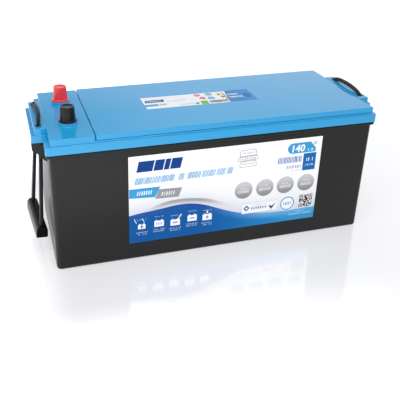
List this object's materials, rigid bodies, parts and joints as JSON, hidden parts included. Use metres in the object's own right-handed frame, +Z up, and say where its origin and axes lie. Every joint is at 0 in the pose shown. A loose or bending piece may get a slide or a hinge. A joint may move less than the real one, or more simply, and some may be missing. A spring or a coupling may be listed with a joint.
{
  "type": "deep cycle battery",
  "caption": "Long sealed lead-acid battery with a blue lid, capped terminals at one end, and a rope handle with a moulded grip at each end.",
  "frame": {"origin": "middle of the base, on the surface that the battery stands on", "axes": "+X along the length away from the terminals, +Y across the width towards the rear, +Z up"},
  "size_m": [0.5299, 0.189, 0.2266],
  "materials": {
    "container": "moulded black polypropylene, satin",
    "lid": "moulded blue polypropylene, glossy",
    "top_cover": "moulded blue polypropylene, glossy",
    "positive_plates": "lead dioxide paste on a lead grid, matt",
    "negative_plates": "sponge lead paste on a lead grid, matt",
    "glass_mat": "absorbent glass fibre mat",
    "lead": "cast lead, dull grey",
    "red_cap": "moulded red polyethylene, satin",
    "black_cap": "moulded black polyethylene, satin",
    "valve_plug": "moulded grey polypropylene",
    "valve_seal": "rubber sealing ring",
    "flame_arrestor": "porous sintered disc",
    "front_label": "printed film",
    "top_label": "printed film",
    "rope": "twisted black polypropylene rope",
    "grip": "moulded black polypropylene"
  },
  "bodies": {
    "root": {"container": "container", "lid": "lid", "top_cover": "top_cover", "cell_1_positive_plates": "positive_plates", "cell_1_negative_plates": "negative_plates", "cell_1_glass_mat": "glass_mat", "valve_plug_1": "valve_plug", "valve_seal_1": "valve_seal", "cell_2_positive_plates": "positive_plates", "cell_2_negative_plates": "negative_plates", "cell_2_glass_mat": "glass_mat", "valve_plug_2": "valve_plug", "valve_seal_2": "valve_seal", "cell_3_positive_plates": "positive_plates", "cell_3_negative_plates": "negative_plates", "cell_3_glass_mat": "glass_mat", "valve_plug_3": "valve_plug", "valve_seal_3": "valve_seal", "cell_4_positive_plates": "positive_plates", "cell_4_negative_plates": "negative_plates", "cell_4_glass_mat": "glass_mat", "valve_plug_4": "valve_plug", "valve_seal_4": "valve_seal", "cell_5_positive_plates": "positive_plates", "cell_5_negative_plates": "negative_plates", "cell_5_glass_mat": "glass_mat", "valve_plug_5": "valve_plug", "valve_seal_5": "valve_seal", "cell_6_positive_plates": "positive_plates", "cell_6_negative_plates": "negative_plates", "cell_6_glass_mat": "glass_mat", "valve_plug_6": "valve_plug", "valve_seal_6": "valve_seal", "cell_link_1": "lead", "cell_link_2": "lead", "cell_link_3": "lead", "cell_link_4": "lead", "cell_link_5": "lead", "positive_bush": "lead", "positive_pole": "lead", "negative_bush": "lead", "negative_pole": "lead", "flame_arrestor_left": "flame_arrestor", "left_rope_arch": "rope", "flame_arrestor_right": "flame_arrestor", "right_rope_arch": "rope", "front_label": "front_label", "top_label": "top_label"},
    "red_cap": {"red_cap": "red_cap"},
    "black_cap": {"black_cap": "black_cap"},
    "left_handle": {"left_rope_loop": "rope", "left_grip": "grip"},
    "right_handle": {"right_rope_loop": "rope", "right_grip": "grip"}
  },
  "joints": [
    {"name": "red_cap_lift", "type": "slide", "parent": "root", "child": "red_cap", "axis": [0, 0, 1], "range_m": [0, 0.03]},
    {"name": "black_cap_lift", "type": "slide", "parent": "root", "child": "black_cap", "axis": [0, 0, 1], "range_m": [0, 0.03]},
    {"name": "left_handle_swing", "type": "hinge", "parent": "root", "child": "left_handle", "pos_m": [-0.245, 0, 0.158], "axis": [0, 1, 0], "range_deg": [0, 90]},
    {"name": "right_handle_swing", "type": "hinge", "parent": "root", "child": "right_handle", "pos_m": [0.245, 0, 0.158], "axis": [0, -1, 0], "range_deg": [0, 90]}
  ]
}
